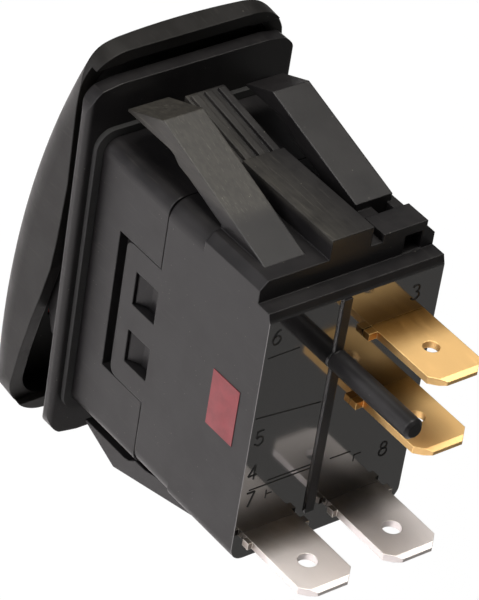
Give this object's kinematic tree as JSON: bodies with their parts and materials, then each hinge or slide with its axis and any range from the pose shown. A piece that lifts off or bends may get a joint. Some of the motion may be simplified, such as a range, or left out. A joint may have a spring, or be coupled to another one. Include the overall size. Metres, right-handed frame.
{
  "type": "panel rocker switch",
  "caption": "Snap-in panel rocker switch with two lamp bars in the rocker, sprung retaining wings and blade terminals on the rear face.",
  "frame": {"origin": "centre of the panel opening, on the rear side of the flange, where the switch meets its panel", "axes": "+X across the switch towards the side with the red mark, +Y back from the rocker to the terminals, +Z along the rocker towards the end stored pressed in"},
  "size_m": [0.0244, 0.0521, 0.0479],
  "materials": {
    "black_plastic": "satin",
    "rocker_plastic": "matte",
    "black_rubber": "matte",
    "steel": "satin",
    "brass": "satin",
    "tin_plate": "satin",
    "white_plastic": "satin",
    "clear_lens": "gloss",
    "red_lens": "gloss",
    "red_ink": "matte",
    "resistor_body": "satin"
  },
  "bodies": {
    "body": {"base_housing": "black_plastic", "bezel_frame": "black_plastic", "panel_gasket": "black_rubber", "seal_diaphragm": "black_rubber", "hinge_pin_left": "steel", "hinge_pin_right": "steel", "terminal_2": "brass", "terminal_3": "brass", "terminal_7": "tin_plate", "terminal_8": "tin_plate", "fixed_contact": "tin_plate", "lamp_holder": "white_plastic", "led_lamp": "clear_lens", "lamp_lead_a": "tin_plate", "lamp_lead_b": "tin_plate", "resistor": "resistor_body", "red_mark": "red_ink"},
    "rocker": {"rocker": "rocker_plastic", "lens_upper": "clear_lens", "lens_lower": "red_lens", "plunger_spring": "steel"},
    "plunger": {"plunger": "white_plastic"},
    "contact": {"contact_blade": "brass", "moving_contact": "tin_plate"}
  },
  "joints": [
    {"name": "rocker_tilt", "type": "hinge", "parent": "body", "child": "rocker", "pos_m": [0, -0.004, 0], "axis": [1, 0, 0], "range_deg": [0, 14]},
    {"name": "plunger_slide", "type": "slide", "parent": "rocker", "child": "plunger", "axis": [0, -0.9925, 0.1219], "range_m": [0, 0.0004], "stiffness_N_per_m": 150, "springref_m": -0.001},
    {"name": "blade_tilt", "type": "hinge", "parent": "body", "child": "contact", "pos_m": [-0.0056, 0.015, 0], "axis": [1, 0, 0], "range_deg": [-20.2, 0]}
  ],
  "couplings": [
    {"joint": "blade_tilt", "follows": "rocker_tilt", "ratio": -1.4286}
  ]
}
